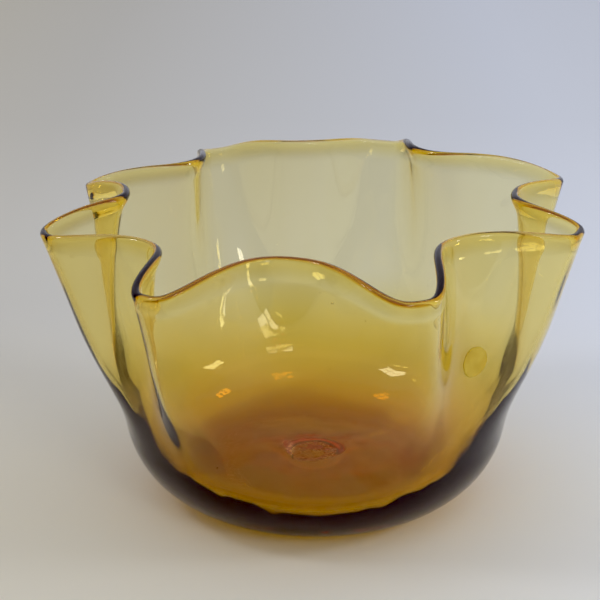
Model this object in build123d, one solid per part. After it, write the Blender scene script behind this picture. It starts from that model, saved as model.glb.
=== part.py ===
from build123d import *
import math
import os

# Hand-blown glass bowl with a ruffled rim, in millimetres and degrees.
# Origin: centre of the foot ring, on the plane that the bowl rests on. +Z runs up to the rim.

# Body: a meridian of the outer wall starts on the foot ring, turns up round the corner and
# climbs the wall. Its lean is the angle from vertical.
FOOT_RADIUS = 56.5
CORNER_RADIUS = 49.5
WALL_LEAN = 10.0

# Flutes: every meridian has the same length of wall, so a lobe leans out and comes lower, and
# a fold curls in towards the rim and comes higher. Onset, belly end and flare start are shares
# of the flute's length. The breadths are the share of each slope that goes to the fold, at the
# foot of the flute and at the rim: a lobe is round and broad low down and narrower at the rim.
# The roundnesses flatten the crests of lobes and folds between straighter slopes. The spread is
# how far, in degrees, the slopes turn towards the middle of their lobe. The growths are powers:
# how late up the wall the fold, the turn and the rim's lift set in.
FLUTE_LENGTH = 125.0
LOBE_ONSET = 0.25
LOBE_BELLY = 7.6
LOBE_BELLY_END = 0.6
LOBE_FLARE = 1.5
LOBE_FLARE_START = 0.75
FOLD_GROWTH = 1.4
FOOT_BREADTH = -0.08
RIM_BREADTH = 0.08
LOBE_ROUNDNESS = 0.11
FOLD_ROUNDNESS = 0.04
LOBE_SPREAD = 1.2
TURN_GROWTH = 1.5
LIFT_GROWTH = 2.0

# Lobes and folds in turn: azimuth, lean of a lobe's wall at the rim or of a fold's on average,
# lift of the rim.
RUFFLES = [
    (196.0, 17.5, 0.0), (217.5, 0.6, -3.5),
    (236.5, 18.5, -3.5), (261.0, -2.5, 1.5),
    (289.5, 16.0, -3.5), (313.5, -2.8, 2.0),
    (339.0, 16.0, 3.0), (360.0, 1.5, 2.0),
    (381.0, 17.5, 3.0), (407.5, -4.0, 8.5),
    (431.5, 13.0, -1.5), (454.0, 3.5, 0.5),
    (474.5, 18.0, -4.5), (494.5, 0.0, -0.5),
    (516.0, 13.0, -4.0), (538.0, -0.5, 3.0),
]

# Glass thickness. The base is a little wedge shaped: it is thicker by the wedge at its edge at
# the wedge's azimuth, and thinner by as much at the opposite edge.
WALL_THICKNESS = 2.5
LIP_THICKNESS = 4.6
LIP_SWELL_LENGTH = 10.0
BASE_THICKNESS = 16.0
BASE_WEDGE = 5.0
WEDGE_AZIMUTH = 90.0
THICKENING_LENGTH = 120.0

# Base: the floor inside rises a little to the middle. The foot is dished inside its ring, with
# a kick-up pressed in at the middle.
FLOOR_RISE = 4.0
FLOOR_FLAT_RADIUS = 9.0
DISH_HEIGHT = 1.2
DISH_RADIUS = 48.0
KICK_UP_HEIGHT = 9.0
KICK_UP_RADIUS = 16.5
RUN_OUT = 0.03

# Pontil scar: what the iron left when it was cracked off, in the middle of the kick-up.
SCAR_RADIUS = 12.0
SCAR_DEPTH = 7.0
SCAR_WAVES = [(2, 0.05, 40.0), (3, 0.04, 110.0), (7, 0.025, 15.0)]
CHIP_RADIUS = 14.0
CHIP_DEPTH = 1.6
CHIP_TILT = 10.0

# Round label on the outside of the wall
LABEL_RADIUS = 8.0
LABEL_THICKNESS = 0.25
LABEL_AZIMUTH = 315.5
LABEL_LENGTH = 132.0
ADHESIVE_GAP = 0.05
SHEET_REACH = 1.3

# Resolution of the surfaces
RING_POINTS = 96
STEP_LENGTH = 1.5
DIFFERENCE = 0.05
CORNER_STEPS = 6
FLUTE_STEPS = 12
LIP_STEPS = 4
FLOOR_STEPS = 4
DISH_STEPS = 16
SCAR_POINTS = 48
LABEL_STEPS = 8
PUNCH_LENGTH = 32.0

CORNER_LENGTH = CORNER_RADIUS * math.radians(90.0 - WALL_LEAN)
WALL_LENGTH = CORNER_LENGTH + FLUTE_LENGTH
MEAN_GAP = 360.0 / len(RUFFLES)


def smooth_step(value):
    value = min(max(value, 0.0), 1.0)
    return value * value * (3.0 - 2.0 * value)


def lobe_share(from_lobe, flute):
    """Share that the lobe has in the wall, on the way from a lobe to a fold, 0 to 1."""
    breadth = FOOT_BREADTH + (RIM_BREADTH - FOOT_BREADTH) * flute
    way = from_lobe + breadth * math.sin(math.pi * from_lobe)
    roundness = LOBE_ROUNDNESS + (FOLD_ROUNDNESS - LOBE_ROUNDNESS) * way
    wave = (1.0 + roundness) * math.cos(math.pi * way) - roundness * math.cos(3.0 * math.pi * way)
    return (1.0 + wave) / 2.0


def ruffle_at(azimuth):
    """Way from lobe to fold, the lean of each, rim lift and turn at an azimuth."""
    first = RUFFLES[0][0]
    azimuth = first + (azimuth - first) % 360.0
    index = max(i for i, ruffle in enumerate(RUFFLES) if ruffle[0] <= azimuth)
    here = RUFFLES[index]
    after = RUFFLES[index + 1] if index + 1 < len(RUFFLES) else (first + 360.0,) + RUFFLES[0][1:]
    gap = after[0] - here[0]
    way = (azimuth - here[0]) / gap
    if index % 2 == 0:
        lobe, fold, from_lobe, to_lobe = here, after, way, -1.0
    else:
        lobe, fold, from_lobe, to_lobe = after, here, 1.0 - way, 1.0
    share = lobe_share(from_lobe, 1.0)
    lift = lobe[2] * share + fold[2] * (1.0 - share)
    turn = LOBE_SPREAD * gap / MEAN_GAP * to_lobe * math.sin(math.pi * way)
    return from_lobe, lobe[1], fold[1], lift, turn


def lean_at(length, from_lobe, lobe_lean, fold_lean):
    """Lean of the outer wall, as an angle from vertical, at a length up its meridian."""
    if length < CORNER_LENGTH:
        return 90.0 - (90.0 - WALL_LEAN) * length / CORNER_LENGTH
    flute = (length - CORNER_LENGTH) / FLUTE_LENGTH
    share = lobe_share(from_lobe, flute)
    belly = LOBE_BELLY * math.sin(math.pi * min(flute / LOBE_BELLY_END, 1.0))
    flare = LOBE_FLARE * max(0.0, flute - LOBE_FLARE_START) / (1.0 - LOBE_FLARE_START)
    outward = (lobe_lean - WALL_LEAN) * smooth_step(flute / LOBE_ONSET) + belly + flare
    inward = (fold_lean - WALL_LEAN) * (1.0 + FOLD_GROWTH) * flute ** FOLD_GROWTH
    return WALL_LEAN + outward * share + inward * (1.0 - share)


def outer_point(azimuth, length):
    """Point of the outer wall at an azimuth and a length up the meridian from the foot."""
    from_lobe, lobe_lean, fold_lean, lift, turn = ruffle_at(azimuth)
    radius, height = FOOT_RADIUS, 0.0
    steps = max(1, math.ceil(length / STEP_LENGTH))
    step = length / steps
    for index in range(steps):
        lean = math.radians(lean_at((index + 0.5) * step, from_lobe, lobe_lean, fold_lean))
        radius += step * math.sin(lean)
        height += step * math.cos(lean)
    flute = max(0.0, (length - CORNER_LENGTH) / FLUTE_LENGTH)
    height += lift * (length / WALL_LENGTH) ** LIFT_GROWTH
    angle = math.radians(azimuth + turn * flute ** TURN_GROWTH)
    return Vector(radius * math.cos(angle), radius * math.sin(angle), height)


def outer_frame(azimuth, length):
    """Point, outward normal and upward tangent of the outer wall."""
    low = max(0.0, length - DIFFERENCE)
    high = min(WALL_LENGTH, length + DIFFERENCE)
    up = (outer_point(azimuth, high) - outer_point(azimuth, low)).normalized()
    around = outer_point(azimuth + DIFFERENCE, length) - outer_point(azimuth - DIFFERENCE, length)
    return outer_point(azimuth, length), around.cross(up).normalized(), up


def base_at(azimuth, share):
    """Thickness of the base at an azimuth and a share of the foot's radius."""
    return BASE_THICKNESS + BASE_WEDGE * share * math.cos(math.radians(azimuth - WEDGE_AZIMUTH))


def thickness_at(azimuth, length):
    """Thickness of the glass, heavy at the foot and swelling a little at the lip."""
    base = (base_at(azimuth, 1.0) - WALL_THICKNESS) * (1.0 - smooth_step(length / THICKENING_LENGTH))
    lip = smooth_step(1.0 - (WALL_LENGTH - length) / LIP_SWELL_LENGTH)
    return WALL_THICKNESS + base + (LIP_THICKNESS - WALL_THICKNESS) * lip


def inner_point(azimuth, length):
    point, normal, _ = outer_frame(azimuth, length)
    return point - normal * thickness_at(azimuth, length)


def lip_point(azimuth, turn):
    """Point of the fire-polished lip, a half circle from the outer wall over to the inner."""
    point, normal, up = outer_frame(azimuth, WALL_LENGTH)
    radius = LIP_THICKNESS / 2.0
    centre = point - normal * radius
    turn = math.radians(turn)
    return centre + normal * (radius * math.cos(turn)) + up * (radius * math.sin(turn))


def floor_point(azimuth, radius):
    share = radius / FOOT_RADIUS
    height = base_at(azimuth, share) + FLOOR_RISE * (1.0 + math.cos(math.pi * share)) / 2.0
    angle = math.radians(azimuth)
    return Vector(radius * math.cos(angle), radius * math.sin(angle), height)


def ring(point_at):
    """Closed smooth wire through one point for each of the evenly spaced azimuths."""
    azimuths = [360.0 * index / RING_POINTS for index in range(RING_POINTS)]
    parameters = [index / RING_POINTS for index in range(RING_POINTS + 1)]
    points = [point_at(azimuth) for azimuth in azimuths]
    return Wire([Edge.make_spline(points, periodic=True, parameters=parameters)])


def wall_stations():
    """Lengths up the wall, closer together round the corner and near the lip."""
    corner = [CORNER_LENGTH * index / CORNER_STEPS for index in range(CORNER_STEPS)]
    flutes = [CORNER_LENGTH + FLUTE_LENGTH * index / FLUTE_STEPS for index in range(FLUTE_STEPS)]
    return corner + flutes + [WALL_LENGTH - LIP_THICKNESS]


def bowl_body():
    stations = wall_stations()
    rings = [ring(lambda azimuth: outer_point(azimuth, length)) for length in stations]
    for index in range(LIP_STEPS + 1):
        rings.append(ring(lambda azimuth: lip_point(azimuth, 180.0 * index / LIP_STEPS)))
    for length in reversed(stations):
        rings.append(ring(lambda azimuth: inner_point(azimuth, length)))
    inward = (FOOT_RADIUS - FLOOR_FLAT_RADIUS) / FLOOR_STEPS
    for index in range(1, FLOOR_STEPS + 1):
        rings.append(ring(lambda azimuth: floor_point(azimuth, FOOT_RADIUS - inward * index)))
    return Solid.make_loft(rings) - hollow_under()


def bell(value):
    """Falls smoothly from 1 at 0 to 0 at 1 and beyond."""
    return math.cos(math.pi / 2.0 * min(value, 1.0)) ** 2


def hollow_under():
    """Hollow under the base: the dish of the foot and the kick-up in its middle."""
    profile = []
    for index in range(DISH_STEPS + 1):
        radius = DISH_RADIUS * index / DISH_STEPS
        height = DISH_HEIGHT * bell(radius / DISH_RADIUS) + KICK_UP_HEIGHT * bell(radius / KICK_UP_RADIUS)
        profile.append((radius, 0.0, height - RUN_OUT))
    roof = Spline(profile, tangents=[(1, 0, 0), (1, 0, 0)])
    below = (0.0, 0.0, -KICK_UP_HEIGHT)
    sides = Polyline(profile[-1], (DISH_RADIUS, 0.0, -KICK_UP_HEIGHT), below, profile[0])
    return revolve(make_face([roof, sides]), Axis.Z)


def scar_outline():
    points = []
    for index in range(SCAR_POINTS):
        azimuth = 360.0 * index / SCAR_POINTS
        radius = SCAR_RADIUS
        for waves, depth, phase in SCAR_WAVES:
            radius += SCAR_RADIUS * depth * math.sin(math.radians(waves * azimuth + phase))
        angle = math.radians(azimuth)
        points.append((radius * math.cos(angle), radius * math.sin(angle)))
    return make_face(Spline(points, periodic=True))


def pontil_scar():
    """Stub of glass under the kick-up, its underside scooped out where the iron broke away."""
    underside = DISH_HEIGHT + KICK_UP_HEIGHT - SCAR_DEPTH
    stub = Pos(0, 0, underside) * extrude(scar_outline(), SCAR_DEPTH)
    chip = Pos(0, 0, underside + CHIP_DEPTH - CHIP_RADIUS) * Sphere(CHIP_RADIUS)
    return (stub & hollow_under()) - Rot(0, CHIP_TILT, 0) * chip


def label_point(across, along):
    """Point just off the outside of the wall, across and along from the label's middle."""
    middle = outer_point(LABEL_AZIMUTH, LABEL_LENGTH)
    turn = math.degrees(across / math.hypot(middle.X, middle.Y))
    point, normal, _ = outer_frame(LABEL_AZIMUTH + turn, LABEL_LENGTH + along)
    return point + normal * ADHESIVE_GAP


def round_label():
    """Thin disc that follows the wall, cut from a larger sheet."""
    reach = LABEL_RADIUS * SHEET_REACH
    offsets = [reach * (2.0 * index / LABEL_STEPS - 1.0) for index in range(LABEL_STEPS + 1)]
    points = [[label_point(across, along) for along in offsets] for across in offsets]
    sheet = Solid.thicken(Face.make_surface_from_array_of_points(points), LABEL_THICKNESS)
    middle, normal, _ = outer_frame(LABEL_AZIMUTH, LABEL_LENGTH)
    punch = Plane(origin=middle, z_dir=normal) * Cylinder(LABEL_RADIUS, PUNCH_LENGTH)
    return sheet & punch


def main():
    os.makedirs("parts", exist_ok=True)
    export_step(bowl_body(), "parts/bowl_body.step")
    export_step(pontil_scar(), "parts/pontil_scar.step")
    export_step(round_label(), "parts/round_label.step")


main()
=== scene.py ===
import math

import bpy
import numpy as np
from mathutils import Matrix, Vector, noise


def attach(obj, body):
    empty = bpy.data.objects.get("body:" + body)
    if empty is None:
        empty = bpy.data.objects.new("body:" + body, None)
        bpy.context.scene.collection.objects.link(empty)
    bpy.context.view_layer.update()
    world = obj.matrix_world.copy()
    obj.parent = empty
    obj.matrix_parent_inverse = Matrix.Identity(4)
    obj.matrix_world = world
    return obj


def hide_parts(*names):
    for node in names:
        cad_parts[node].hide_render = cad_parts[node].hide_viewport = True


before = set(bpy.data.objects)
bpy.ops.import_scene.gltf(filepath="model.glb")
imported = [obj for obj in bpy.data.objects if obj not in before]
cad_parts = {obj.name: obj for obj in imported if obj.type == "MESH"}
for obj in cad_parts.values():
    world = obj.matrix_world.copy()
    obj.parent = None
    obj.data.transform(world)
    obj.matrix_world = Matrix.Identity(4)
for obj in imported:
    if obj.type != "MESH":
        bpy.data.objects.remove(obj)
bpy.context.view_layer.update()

MM = 0.001

# ---------------------------------------------------------------- driving dimensions (mm, degrees)
FOOT_RADIUS = 56.5
CORNER_RADIUS = 49.5
WALL_LEAN = 10.0
FLUTE_LENGTH = 125.0
LOBE_ONSET = 0.25
LOBE_BELLY = 7.6
LOBE_BELLY_END = 0.6
LOBE_FLARE = 1.5
LOBE_FLARE_START = 0.75
FOLD_GROWTH = 1.4
FOOT_BREADTH = -0.08
RIM_BREADTH = 0.08
LOBE_ROUNDNESS = 0.11
FOLD_ROUNDNESS = 0.04
LOBE_SPREAD = 1.2
TURN_GROWTH = 1.5
LIFT_GROWTH = 2.0
RUFFLES = [  # lobes and folds in turn: azimuth, lean of the wall at the rim, lift of the rim
    (196.0, 17.5, 0.0), (217.5, 0.6, -3.5),
    (236.5, 18.5, -3.5), (261.0, -2.5, 1.5),
    (289.5, 16.0, -3.5), (313.5, -2.8, 2.0),
    (339.0, 16.0, 3.0), (360.0, 1.5, 2.0),
    (381.0, 17.5, 3.0), (407.5, -4.0, 8.5),
    (431.5, 13.0, -1.5), (454.0, 3.5, 0.5),
    (474.5, 18.0, -4.5), (494.5, 0.0, -0.5),
    (516.0, 13.0, -4.0), (538.0, -0.5, 3.0),
]
WALL_THICKNESS = 2.5
LIP_THICKNESS = 4.6
LIP_SWELL_LENGTH = 10.0
BASE_THICKNESS = 16.0
BASE_WEDGE = 5.0
WEDGE_AZIMUTH = 90.0
THICKENING_LENGTH = 120.0
FLOOR_RISE = 4.0
DISH_HEIGHT = 1.2
DISH_RADIUS = 48.0
KICK_UP_HEIGHT = 9.0
KICK_UP_RADIUS = 16.5
SCAR_RADIUS = 12.0
SCAR_DEPTH = 7.0
SCAR_WAVES = [(2, 0.05, 40.0), (3, 0.04, 110.0), (7, 0.025, 15.0)]
CHIP_RADIUS = 14.0
CHIP_DEPTH = 1.6
CHIP_TILT = 10.0
CHIP_SHIFT = 0.1
LABEL_RADIUS = 8.0
LABEL_THICKNESS = 0.25
LABEL_AZIMUTH = 315.5
LABEL_LENGTH = 132.0
ADHESIVE_GAP = 0.05

CORNER_LENGTH = CORNER_RADIUS * math.radians(90.0 - WALL_LEAN)
WALL_LENGTH = CORNER_LENGTH + FLUTE_LENGTH
MEAN_GAP = 360.0 / len(RUFFLES)

# hand-made unevenness (mm): slow waves of the outer wall, upright cords on the inner one, a
# tooled floor, and the rough break of the scar
OUTER_WAVE = 0.35
OUTER_WAVE_CELL = (34.0, 34.0, 60.0)
INNER_CORD = 0.16
INNER_CORD_CELL = (11.0, 11.0, 70.0)
FLOOR_WAVE = 0.35
FLOOR_WAVE_CELL = 13.0
FLOOR_WAVE_START = 20.0
BREAK_ROUGHNESS = 0.35
BREAK_CELL = 2.2
SPLINTER_CELL = 0.9
RIPPLE_HEIGHT = 0.09
RIPPLE_LENGTH = 1.3
SCAR_EDGE = 0.7
SCAR_REACH = 1.2
CRINKLE_HEIGHT = 0.03
CRINKLE_CELL = 1.6
LABEL_PRESSED = 0.04
LABEL_EDGE_WEAR = 0.012
WEAR_HEIGHT = 0.8
WEAR_INSIDE = 4.0
WEAR_OUTSIDE = 6.0
SEEDS = 46
SEED_STRETCH = 1.5
SEED_SIDES = 10

# shares of a window's grid that its panes fill
PANE_BREADTH = 0.86
PANE_HEIGHT = 0.9

# mesh resolution
AZIMUTHS = 360
WALL_STEPS = 84
LIP_STEPS = 10
FLOOR_STEPS = 22
SCAR_STEPS = 44
DISH_STEPS = 25
FOOT_STEPS = 4
WALL_SUMS = 400
LABEL_GRID = 25
LABEL_SIDES = 72
LABEL_RINGS = 12


def smooth_step(value):
    value = np.clip(value, 0.0, 1.0)
    return value * value * (3.0 - 2.0 * value)


def lobe_share(from_lobe, flute):
    """Share that the lobe has in the wall, on the way from a lobe to a fold, 0 to 1."""
    breadth = FOOT_BREADTH + (RIM_BREADTH - FOOT_BREADTH) * flute
    way = from_lobe + breadth * np.sin(math.pi * from_lobe)
    roundness = LOBE_ROUNDNESS + (FOLD_ROUNDNESS - LOBE_ROUNDNESS) * way
    wave = (1.0 + roundness) * np.cos(math.pi * way) - roundness * np.cos(3.0 * math.pi * way)
    return (1.0 + wave) / 2.0


def ruffle_at(azimuth):
    """Way from lobe to fold, the lean of each, rim lift and turn, for an array of azimuths."""
    keys = np.array(RUFFLES + [(RUFFLES[0][0] + 360.0,) + RUFFLES[0][1:]])
    azimuth = keys[0, 0] + (azimuth - keys[0, 0]) % 360.0
    index = np.clip(np.searchsorted(keys[:, 0], azimuth, side="right") - 1, 0, len(RUFFLES) - 1)
    here, after = keys[index], keys[index + 1]
    gap = after[:, 0] - here[:, 0]
    way = (azimuth - here[:, 0]) / gap
    starts_at_lobe = index % 2 == 0
    from_lobe = np.where(starts_at_lobe, way, 1.0 - way)
    share = lobe_share(from_lobe, 1.0)
    lobe = np.where(starts_at_lobe[:, None], here, after)
    fold = np.where(starts_at_lobe[:, None], after, here)
    lift = lobe[:, 2] * share + fold[:, 2] * (1.0 - share)
    to_lobe = np.where(starts_at_lobe, -1.0, 1.0)
    turn = LOBE_SPREAD * gap / MEAN_GAP * to_lobe * np.sin(math.pi * way)
    return from_lobe, lobe[:, 1], fold[:, 1], lift, turn


def outer_wall(azimuth, lengths):
    """Points of the outer wall, azimuth by length, in mm."""
    from_lobe, lobe_lean, fold_lean, lift, turn = (value[:, None] for value in ruffle_at(azimuth))
    edge = np.linspace(0.0, WALL_LENGTH, WALL_SUMS + 1)
    middle = ((edge[1:] + edge[:-1]) / 2.0)[None, :]
    flute = np.maximum(0.0, (middle - CORNER_LENGTH) / FLUTE_LENGTH)
    share = lobe_share(from_lobe, flute)
    belly = LOBE_BELLY * share * np.sin(math.pi * np.minimum(flute / LOBE_BELLY_END, 1.0))
    flare = LOBE_FLARE * share * np.maximum(0.0, flute - LOBE_FLARE_START) / (1.0 - LOBE_FLARE_START)
    outward = (lobe_lean - WALL_LEAN) * smooth_step(flute / LOBE_ONSET)
    inward = (fold_lean - WALL_LEAN) * (1.0 + FOLD_GROWTH) * flute ** FOLD_GROWTH
    lean = WALL_LEAN + outward * share + inward * (1.0 - share) + belly + flare
    corner = 90.0 - (90.0 - WALL_LEAN) * middle / CORNER_LENGTH
    lean = np.radians(np.where(middle < CORNER_LENGTH, corner, lean))
    step = WALL_LENGTH / WALL_SUMS
    start = np.zeros((len(azimuth), 1))
    radius = FOOT_RADIUS + np.concatenate([start, np.cumsum(np.sin(lean) * step, axis=1)], axis=1)
    height = np.concatenate([start, np.cumsum(np.cos(lean) * step, axis=1)], axis=1)
    radius = np.array([np.interp(lengths, edge, row) for row in radius])
    height = np.array([np.interp(lengths, edge, row) for row in height])
    flute = np.maximum(0.0, (lengths[None, :] - CORNER_LENGTH) / FLUTE_LENGTH)
    height = height + lift * (lengths[None, :] / WALL_LENGTH) ** LIFT_GROWTH
    angle = np.radians(azimuth[:, None] + turn * flute ** TURN_GROWTH)
    return np.stack([radius * np.cos(angle), radius * np.sin(angle), height], axis=-1)


def unit(vectors):
    return vectors / np.linalg.norm(vectors, axis=-1, keepdims=True)


def wall_frame(points, closed=True):
    """Outward normals and upward tangents of a wall grid, which may be closed round the azimuth."""
    if closed:
        around = np.roll(points, -1, axis=0) - np.roll(points, 1, axis=0)
    else:
        around = np.gradient(points, axis=0)
    up = unit(np.gradient(points, axis=1))
    return unit(np.cross(around, up)), up


def base_at(azimuth, share):
    """Thickness of the base, which is a little wedge shaped, at a share of the foot's radius."""
    return BASE_THICKNESS + BASE_WEDGE * share * np.cos(np.radians(azimuth - WEDGE_AZIMUTH))


def thickness_at(azimuth, lengths):
    azimuth, lengths = azimuth[:, None], lengths[None, :]
    base = (base_at(azimuth, 1.0) - WALL_THICKNESS) * (1.0 - smooth_step(lengths / THICKENING_LENGTH))
    lip = smooth_step(1.0 - (WALL_LENGTH - lengths) / LIP_SWELL_LENGTH)
    return WALL_THICKNESS + base + (LIP_THICKNESS - WALL_THICKNESS) * lip


def disc_rings(azimuth, radii, heights):
    angle = np.radians(azimuth)[:, None]
    radii, heights = np.broadcast_arrays(radii, heights)
    shape = (len(azimuth), radii.shape[-1])
    radii, heights = np.broadcast_to(radii, shape), np.broadcast_to(heights, shape)
    return np.stack([radii * np.cos(angle), radii * np.sin(angle), heights], axis=-1)


def bell(values):
    """Falls smoothly from 1 at 0 to 0 at 1 and beyond."""
    return np.cos(math.pi / 2.0 * np.minimum(values, 1.0)) ** 2


def underside(radii):
    """Height of the dish of the foot, with the kick-up in its middle."""
    return DISH_HEIGHT * bell(radii / DISH_RADIUS) + KICK_UP_HEIGHT * bell(radii / KICK_UP_RADIUS)


def noise_at(points, scale, seed):
    """Smooth noise, about -1 to 1, at an array of points; scale is the cell size in mm."""
    flat = (points / np.asarray(scale)).reshape(-1, 3)
    values = [noise.noise(Vector((x + seed, y, z))) for x, y, z in flat.tolist()]
    return np.array(values).reshape(points.shape[:-1])


def scar_relief(azimuth, radii):
    """Height of the broken stub under the kick-up, and how far a point lies inside its outline."""
    angle = np.radians(azimuth)[:, None]
    outline = SCAR_RADIUS + np.zeros_like(angle)
    for waves, depth, phase in SCAR_WAVES:
        outline = outline + SCAR_RADIUS * depth * np.sin(np.radians(waves * azimuth + phase))[:, None]
    x, y = radii * np.cos(angle), radii * np.sin(angle)
    inside = smooth_step((outline - radii) / SCAR_EDGE + 0.5)
    face = DISH_HEIGHT + KICK_UP_HEIGHT - SCAR_DEPTH
    tilt = math.radians(CHIP_TILT)
    centre = face + CHIP_DEPTH * math.cos(tilt) - CHIP_RADIUS
    aside = x - CHIP_RADIUS * math.sin(tilt) * CHIP_SHIFT
    chip = centre + np.sqrt(np.maximum(0.0, CHIP_RADIUS ** 2 - aside ** 2 - y ** 2))
    points = np.stack([x, y, np.zeros_like(x)], axis=-1)
    jagged = noise_at(points, BREAK_CELL, 3.0) + 0.5 * noise_at(points, SPLINTER_CELL, 8.0)
    from_start = np.hypot(x + SCAR_RADIUS * 0.8, y - SCAR_RADIUS * 0.5)
    ripple = RIPPLE_HEIGHT * np.sin(2.0 * math.pi * from_start / RIPPLE_LENGTH + 2.0 * jagged)
    surface = np.maximum(face, chip) + BREAK_ROUGHNESS * jagged + ripple
    return surface, inside


def glass_profile():
    """Grid of points, azimuth by station, from the middle of the kick-up out over the foot ring,
    up the outer wall, over the lip, down the inner wall and in over the floor; also the share of
    each point's surface that is broken glass."""
    azimuth = np.arange(AZIMUTHS) * 360.0 / AZIMUTHS
    lengths = np.linspace(0.0, WALL_LENGTH, WALL_STEPS + 1)
    outer = outer_wall(azimuth, lengths)
    normal, up = wall_frame(outer)
    thickness = thickness_at(azimuth, lengths)
    rising = smooth_step(lengths / CORNER_LENGTH)[None, :]
    thickness = thickness + INNER_CORD * rising * noise_at(outer, INNER_CORD_CELL, 20.0)
    inner = outer - normal * thickness[:, :, None]
    inner[:, 0] = disc_rings(azimuth, np.array([FOOT_RADIUS]), base_at(azimuth, 1.0)[:, None])[:, 0]
    half = LIP_THICKNESS / 2.0
    centre = (outer[:, -1] - normal[:, -1] * half)[:, None, :]
    turn = np.linspace(0.0, math.pi, LIP_STEPS + 1)[None, 1:-1, None]
    lip = centre + half * (normal[:, -1:] * np.cos(turn) + up[:, -1:] * np.sin(turn))
    wave = OUTER_WAVE * rising[:, :, None] * noise_at(outer, OUTER_WAVE_CELL, 0.0)[:, :, None]
    outer, inner = outer + normal * wave, inner + normal * wave
    lip = lip + normal[:, -1:] * wave[:, -1:]
    floor_radii = np.linspace(FOOT_RADIUS, 0.0, FLOOR_STEPS + 1)[1:-1]
    floor_heights = base_at(azimuth[:, None], floor_radii[None, :] / FOOT_RADIUS)
    floor_heights = floor_heights + FLOOR_RISE * (1.0 + np.cos(math.pi * floor_radii / FOOT_RADIUS)) / 2.0
    floor = disc_rings(azimuth, floor_radii, floor_heights)
    in_from_wall = smooth_step((FOOT_RADIUS - floor_radii) / FLOOR_WAVE_START)[None, :]
    floor[:, :, 2] += FLOOR_WAVE * in_from_wall * noise_at(floor, FLOOR_WAVE_CELL, 5.0)
    under_radii = np.concatenate([
        np.linspace(0.0, SCAR_RADIUS * SCAR_REACH, SCAR_STEPS + 1)[1:],
        np.linspace(SCAR_RADIUS * SCAR_REACH, DISH_RADIUS, DISH_STEPS + 1)[1:],
    ])
    surface, inside = scar_relief(azimuth, under_radii[None, :])
    heights = underside(under_radii)[None, :] * (1.0 - inside) + surface * inside
    under = disc_rings(azimuth, under_radii, heights)
    foot_radii = np.linspace(DISH_RADIUS, FOOT_RADIUS, FOOT_STEPS + 1)[1:-1]
    foot = disc_rings(azimuth, foot_radii, np.zeros(FOOT_STEPS - 1))
    rows = np.concatenate([under, foot, outer, lip, inner[:, ::-1], floor], axis=1)
    broken = np.zeros(rows.shape[:2])
    broken[:, :under.shape[1]] = inside
    bottom = np.array([0.0, 0.0, surface[:, 0].mean()])
    top = np.array([0.0, 0.0, floor[:, -1, 2].mean()])
    return rows, bottom, top, broken, outer, inner


def closed_surface(rows, first_pole, last_pole):
    """Points and faces of a grid that is closed round its first axis, with a pole at each end."""
    around, along = rows.shape[:2]
    points = np.concatenate([rows.reshape(-1, 3), [first_pole, last_pole]])
    pole_a, pole_b = around * along, around * along + 1
    faces = []
    for i in range(around):
        here, there = i * along, (i + 1) % around * along
        faces.append((pole_a, there, here))
        faces.extend((here + k, there + k, there + k + 1, here + k + 1) for k in range(along - 1))
        faces.append((here + along - 1, there + along - 1, pole_b))
    return points, faces


def seed_bubble(centre, radius):
    """A drawn-out air bubble in the glass: its faces look in, to the air."""
    turn = np.arange(SEED_SIDES) * 2.0 * math.pi / SEED_SIDES
    tilt = np.linspace(0.0, math.pi, SEED_SIDES // 2 + 1)[1:-1]
    ring = np.stack([np.cos(turn), np.sin(turn), np.zeros(SEED_SIDES)], axis=-1)[:, None, :]
    rows = ring * np.sin(tilt)[None, :, None] + np.array([0.0, 0.0, 1.0]) * np.cos(tilt)[None, :, None]
    stretch = np.array([1.0, 1.0, SEED_STRETCH]) * radius
    top, bottom = np.array([0.0, 0.0, 1.0]), np.array([0.0, 0.0, -1.0])
    points, faces = closed_surface(rows, top, bottom)
    return points * stretch + centre, faces


def seed_bubbles(outer, inner):
    """Small bubbles between the two sides of the wall, more of them in the heavy base."""
    random = np.random.default_rng(11)
    around, along = outer.shape[:2]
    bubbles = []
    for _ in range(SEEDS):
        i = int(random.integers(around))
        k = int(along * random.uniform(0.08, 0.95) ** 1.6)
        depth = random.uniform(0.35, 0.65)
        centre = outer[i, k] * (1.0 - depth) + inner[i, k] * depth
        room = np.linalg.norm(outer[i, k] - inner[i, k])
        radius = min(random.uniform(0.15, 0.5), 0.08 * room)
        bubbles.append(seed_bubble(centre, radius))
    return bubbles


def make_piece(name, surfaces):
    """Mesh object, in metres, from one or more lists of points and faces in mm."""
    points, faces, first = [], [], 0
    for its_points, its_faces in surfaces:
        points.append(its_points)
        faces.extend(tuple(first + corner for corner in face) for face in its_faces)
        first += len(its_points)
    mesh = bpy.data.meshes.new(name)
    mesh.from_pydata((np.concatenate(points) * MM).tolist(), [], faces)
    mesh.shade_smooth()
    mesh.update()
    piece = bpy.data.objects.new(name, mesh)
    bpy.context.scene.collection.objects.link(piece)
    return piece


def point_values(piece, name, values):
    attribute = piece.data.attributes.new(name, "FLOAT", "POINT")
    attribute.data.foreach_set("value", values.astype(np.float32))


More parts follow.
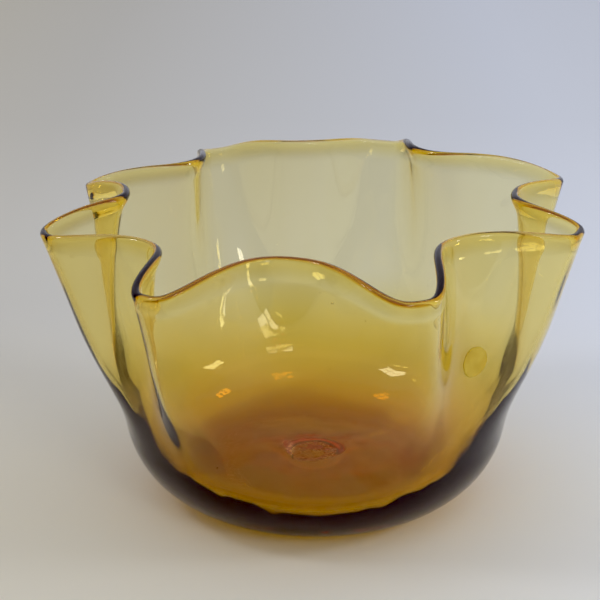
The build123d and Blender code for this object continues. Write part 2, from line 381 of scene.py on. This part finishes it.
def label_surface():
    """Round label that follows the wall, a little worn round its edge."""
    middle = outer_wall(np.array([LABEL_AZIMUTH]), np.array([LABEL_LENGTH]))[0, 0]
    around = math.hypot(middle[0], middle[1])
    reach = LABEL_RADIUS * 1.2
    across = np.linspace(-reach, reach, LABEL_GRID)
    outer = outer_wall(LABEL_AZIMUTH + np.degrees(across / around), LABEL_LENGTH + across)
    normal, _ = wall_frame(outer, closed=False)
    outer = outer + normal * OUTER_WAVE * noise_at(outer, OUTER_WAVE_CELL, 0.0)[:, :, None]

    def on_wall(x, y):
        """Wall points and normals at places across and along from the label's middle."""
        i = np.clip((x + reach) / (2.0 * reach) * (LABEL_GRID - 1), 0, LABEL_GRID - 1.001)
        j = np.clip((y + reach) / (2.0 * reach) * (LABEL_GRID - 1), 0, LABEL_GRID - 1.001)
        i0, j0 = i.astype(int), j.astype(int)
        fi, fj = (i - i0)[..., None], (j - j0)[..., None]
        mixed = []
        for grid in (outer, normal):
            low = grid[i0, j0] * (1.0 - fi) + grid[i0 + 1, j0] * fi
            high = grid[i0, j0 + 1] * (1.0 - fi) + grid[i0 + 1, j0 + 1] * fi
            mixed.append(low * (1.0 - fj) + high * fj)
        return mixed

    turn = np.arange(LABEL_SIDES) * 2.0 * math.pi / LABEL_SIDES
    wear = LABEL_EDGE_WEAR * (1.0 + np.sin(3.0 * turn + 1.0) * np.sin(7.0 * turn))
    edge = LABEL_RADIUS * (1.0 - wear)
    shares = np.linspace(0.0, 1.0, LABEL_RINGS + 1)[1:]
    x = np.cos(turn)[:, None] * edge[:, None] * shares[None, :]
    y = np.sin(turn)[:, None] * edge[:, None] * shares[None, :]
    wall, out = on_wall(x, y)
    crinkle = CRINKLE_HEIGHT * noise_at(wall, CRINKLE_CELL, 2.0)[:, :, None]
    front = ADHESIVE_GAP + LABEL_THICKNESS - LABEL_PRESSED
    face = wall + out * (front + crinkle)
    back = wall + out * ADHESIVE_GAP
    (centre,), (centre_out,) = on_wall(np.array([0.0]), np.array([0.0]))
    rows = np.concatenate([face, back[:, ::-1]], axis=1)[::-1]
    front_pole = centre + centre_out * front
    return closed_surface(rows, front_pole, centre + centre_out * ADHESIVE_GAP)


def node_maker(material):
    """Function that adds a node to the material or world, sets its inputs and links sockets into it."""
    nodes, links = material.node_tree.nodes, material.node_tree.links

    def add(kind, links_in=None, **settings):
        node = nodes.new(kind)
        for name, value in settings.items():
            if hasattr(node, name):
                setattr(node, name, value)
            else:
                node.inputs[name.replace("_", " ")].default_value = value
        for name, socket in (links_in or {}).items():
            links.new(socket, node.inputs[name])
        return node

    return add


def new_material(name):
    """New material, its shader, its links, and the short way to add nodes to it."""
    material = bpy.data.materials.new(name)
    material.use_nodes = True
    shader = material.node_tree.nodes["Principled BSDF"]
    return material, shader, material.node_tree.links, node_maker(material)


def amber_glass():
    """Clear amber glass, matt where it is broken and finely scratched where the foot stands."""
    material, shader, links, add = new_material("amber_glass")
    shader.inputs["Base Color"].default_value = (1.0, 1.0, 1.0, 1.0)
    shader.inputs["Transmission Weight"].default_value = 1.0
    shader.inputs["IOR"].default_value = 1.5
    place = add("ShaderNodeTexCoord").outputs["Object"]
    broken = add("ShaderNodeAttribute", attribute_name="broken").outputs["Fac"]
    worn = add("ShaderNodeAttribute", attribute_name="worn").outputs["Fac"]
    scratches = add("ShaderNodeTexNoise", {"Vector": place}, Scale=900.0, Detail=3.0)
    scuffed = add("ShaderNodeMapRange", {"Value": scratches.outputs["Fac"]},
                  From_Min=0.4, From_Max=0.7, To_Max=0.4)
    rubbed = add("ShaderNodeMath", {0: worn, 1: scuffed.outputs["Result"]}, operation="MULTIPLY")
    rough = add("ShaderNodeMath", {0: broken, 2: rubbed.outputs["Value"]}, operation="MULTIPLY_ADD")
    rough.inputs[1].default_value = 0.22
    links.new(rough.outputs["Value"], shader.inputs["Roughness"])
    drawn = add("ShaderNodeMapping", {"Vector": place}, Scale=(1.0, 1.0, 0.22))
    ripple = add("ShaderNodeTexNoise", {"Vector": drawn.outputs["Vector"]}, Scale=45.0, Detail=2.0)
    grain = add("ShaderNodeTexNoise", {"Vector": place}, Scale=1400.0, Detail=4.0)
    splinter = add("ShaderNodeMath", {0: grain.outputs["Fac"], 1: broken}, operation="MULTIPLY")
    height = add("ShaderNodeMath", {0: splinter.outputs["Value"], 2: ripple.outputs["Fac"]},
                 operation="MULTIPLY_ADD")
    height.inputs[1].default_value = 0.6
    bump = add("ShaderNodeBump", {"Height": height.outputs["Value"]}, Strength=0.25, Distance=0.0004)
    links.new(bump.outputs["Normal"], shader.inputs["Normal"])
    depth = add("ShaderNodeVolumeAbsorption", Color=(0.974, 0.872, 0.26, 1.0), Density=285.0)
    links.new(depth.outputs["Volume"], material.node_tree.nodes["Material Output"].inputs["Volume"])
    return material


def label_paper():
    """Gummed paper gone yellow, a little translucent, with its fibres and darker glue showing."""
    material, shader, links, add = new_material("label_paper")
    shader.inputs["Roughness"].default_value = 0.75
    shader.inputs["Specular IOR Level"].default_value = 0.25
    shader.inputs["Transmission Weight"].default_value = 0.4
    shader.inputs["IOR"].default_value = 1.3
    place = add("ShaderNodeTexCoord").outputs["Object"]
    glue = add("ShaderNodeTexNoise", {"Vector": place}, Scale=140.0, Detail=3.0)
    tint = add("ShaderNodeValToRGB", {"Fac": glue.outputs["Fac"]})
    tint.color_ramp.elements[0].position = 0.3
    tint.color_ramp.elements[0].color = (0.80, 0.60, 0.10, 1.0)
    tint.color_ramp.elements[1].position = 0.7
    tint.color_ramp.elements[1].color = (0.90, 0.72, 0.15, 1.0)
    links.new(tint.outputs["Color"], shader.inputs["Base Color"])
    fibres = add("ShaderNodeTexNoise", {"Vector": place}, Scale=2600.0, Detail=4.0, Distortion=1.5)
    bump = add("ShaderNodeBump", {"Height": fibres.outputs["Fac"]}, Strength=0.35, Distance=0.00005)
    links.new(bump.outputs["Normal"], shader.inputs["Normal"])
    return material


def floor_paper_painted_light():
    """Pale paper with painted light: a painted tint, warm near the bowl and to its left, cool behind it and
    to its right, and painted brightness, lighter to the right and in front of the bowl.
    """
    material, shader, links, add = new_material("floor_paper_painted_light")
    shader.inputs["Roughness"].default_value = 0.8
    place = add("ShaderNodeTexCoord").outputs["Object"]
    split = add("ShaderNodeSeparateXYZ", {"Vector": place})
    # painted light: the tint runs from warm near the bowl and to its left, standing in for amber light
    # through the bowl, to cool behind it and to its right, standing in for cool window light
    back = add("ShaderNodeMapRange", {"Value": split.outputs["Y"]}, From_Min=-0.05, From_Max=0.25,
               To_Min=0.38, To_Max=0.70)
    painted_light_tint_share = add("ShaderNodeMath", {0: split.outputs["X"], 2: back.outputs["Result"]},
               operation="MULTIPLY_ADD")
    painted_light_tint_share.inputs[1].default_value = 1.4
    tint = add("ShaderNodeValToRGB", {"Fac": painted_light_tint_share.outputs["Value"]})
    tint.color_ramp.elements[0].color = (0.75, 0.705, 0.585, 1.0)
    tint.color_ramp.elements[1].color = (0.69, 0.725, 0.815, 1.0)
    # painted light and painted shade: the paper is brighter to the right, where the light falls, and
    # brighter in front of the bowl to lift its shadow there, darker far behind it
    painted_light_from_right = add("ShaderNodeMapRange", {"Value": split.outputs["X"]}, From_Min=-0.25, From_Max=0.25,
                To_Min=0.92, To_Max=1.2)
    painted_light_in_front = add("ShaderNodeMapRange", {"Value": split.outputs["Y"]}, From_Min=-0.25, From_Max=0.8,
                 To_Min=1.1, To_Max=0.92)
    painted_brightness = add("ShaderNodeMath", {0: painted_light_from_right.outputs["Result"], 1: painted_light_in_front.outputs["Result"]},
               operation="MULTIPLY")
    shade = add("ShaderNodeHueSaturation", {"Color": tint.outputs["Color"], "Value": painted_brightness.outputs["Value"]})
    links.new(shade.outputs["Color"], shader.inputs["Base Color"])
    return material


def studio_world():
    """Room light: a bright cool wall behind the bowl and a bright ceiling, a dim warm room in front."""
    world = bpy.data.worlds.new("studio")
    world.use_nodes = True
    nodes, links = world.node_tree.nodes, world.node_tree.links
    add = node_maker(world)
    direction = add("ShaderNodeTexCoord").outputs["Generated"]
    split = add("ShaderNodeSeparateXYZ", {"Vector": direction})
    aside = add("ShaderNodeMath", {0: split.outputs["X"], 2: split.outputs["Y"]}, operation="MULTIPLY_ADD")
    aside.inputs[1].default_value = 0.4
    wall = add("ShaderNodeValToRGB", {"Fac": add_range(add, aside.outputs["Value"], -0.6, 0.9)})
    wall.color_ramp.elements[0].color = (0.06, 0.05, 0.04, 1.0)
    wall.color_ramp.elements[1].color = (0.74, 0.76, 0.83, 1.0)
    mix = add("ShaderNodeMix", {"Factor": add_range(add, split.outputs["Z"], 0.15, 0.6)}, data_type="RGBA")
    links.new(wall.outputs["Color"], mix.inputs["A"])
    mix.inputs["B"].default_value = (0.62, 0.63, 0.65, 1.0)
    links.new(mix.outputs["Result"], nodes["Background"].inputs["Color"])
    bpy.context.scene.world = world


def add_range(add, value, low, high):
    """Share of the way, 0 to 1, that a value is from low to high."""
    spread = add("ShaderNodeMapRange", {"Value": value}, From_Min=low, From_Max=high)
    return spread.outputs["Result"]


def area_light(name, place, target, size, power, colour):
    data = bpy.data.lights.new(name, "AREA")
    data.shape = "RECTANGLE"
    data.size, data.size_y = size
    data.energy = power
    data.color = colour
    light = bpy.data.objects.new(name, data)
    light.location = place
    light.rotation_mode = "QUATERNION"
    light.rotation_quaternion = (Vector(target) - Vector(place)).to_track_quat("-Z", "Y")
    bpy.context.scene.collection.objects.link(light)
    return light


def window(name, place, target, size, panes, power, colour):
    """Soft window of several panes, with bars between them, that faces its target."""
    facing = (Vector(target) - Vector(place)).to_track_quat("-Z", "Y")
    columns, rows = panes
    for column in range(columns):
        for row in range(rows):
            offset = Vector(((column - (columns - 1) / 2.0) * size[0] / columns,
                             (row - (rows - 1) / 2.0) * size[1] / rows, 0.0))
            centre = Vector(place) + facing @ offset
            pane = (size[0] / columns * PANE_BREADTH, size[1] / rows * PANE_HEIGHT)
            share = power / columns / rows
            pane_light = area_light(f"{name}_{column}_{row}", centre, target, pane, share, colour)
            pane_light.rotation_quaternion = facing


rows, bottom, top, broken, outer, inner = glass_profile()
bubbles = seed_bubbles(outer, inner)
bowl = make_piece("blown_glass", [closed_surface(rows, bottom, top)] + bubbles)
extra = len(bowl.data.vertices) - rows.shape[0] * rows.shape[1]
radii = np.hypot(rows[:, :, 0], rows[:, :, 1])
worn = smooth_step((radii - DISH_RADIUS + WEAR_INSIDE) / WEAR_INSIDE)
worn = worn * smooth_step(1.0 - rows[:, :, 2] / WEAR_HEIGHT)
worn = worn * smooth_step((FOOT_RADIUS + WEAR_OUTSIDE - radii) / WEAR_OUTSIDE)
point_values(bowl, "broken", np.concatenate([broken.ravel(), [1.0], np.zeros(extra - 1)]))
point_values(bowl, "worn", np.concatenate([worn.ravel(), np.zeros(extra)]))
bowl.data.materials.append(amber_glass())
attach(bowl, "root")
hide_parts("bowl_body", "pontil_scar")

label = make_piece("paper_label", [label_surface()])
label.data.materials.append(label_paper())
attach(label, "root")
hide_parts("round_label")

# ---------------------------------------------------------------- stage
bpy.ops.mesh.primitive_plane_add(size=16.0, location=(0, 0, -0.0003))
floor = bpy.context.object
floor.name = "floor"
floor.data.materials.append(floor_paper_painted_light())
studio_world()
window("window_right", (1.75, -0.3, 0.95), (0, 0, 0.1), (0.42, 0.3), (3, 2), 5.0, (0.97, 0.98, 1.0))
window("window_left", (-1.2, -0.3, 1.5), (0, 0, 0.1), (0.35, 0.35), (2, 2), 3.5, (1.0, 0.98, 0.95))
window("window_front", (0.8, -1.8, 1.25), (0, 0, 0.15), (0.55, 0.5), (2, 2), 5.0, (1.0, 0.97, 0.92))

# ---------------------------------------------------------------- camera
CAMERA_ELEVATION = math.radians(20.78)
CAMERA_DISTANCE = 0.9289
CAMERA_AIM = Vector((-0.0085, 0.0, 0.1083))
camera = bpy.data.objects.new("camera", bpy.data.cameras.new("camera"))
bpy.context.scene.collection.objects.link(camera)
back = Vector((0.0, -math.cos(CAMERA_ELEVATION), math.sin(CAMERA_ELEVATION)))
camera.location = CAMERA_AIM + back * CAMERA_DISTANCE
camera.rotation_mode = "QUATERNION"
camera.rotation_quaternion = (-back).to_track_quat("-Z", "Y")
camera.data.lens = 102.07
camera.data.sensor_width = 36.0
bpy.context.scene.camera = camera
bpy.context.scene.cycles.max_bounces = 32
bpy.context.scene.cycles.transmission_bounces = 32
view = bpy.context.scene.view_settings
view.view_transform = "Standard"
view.use_curve_mapping = True
view.curve_mapping.black_level = (0.02, 0.027, 0.023)
view.curve_mapping.update()
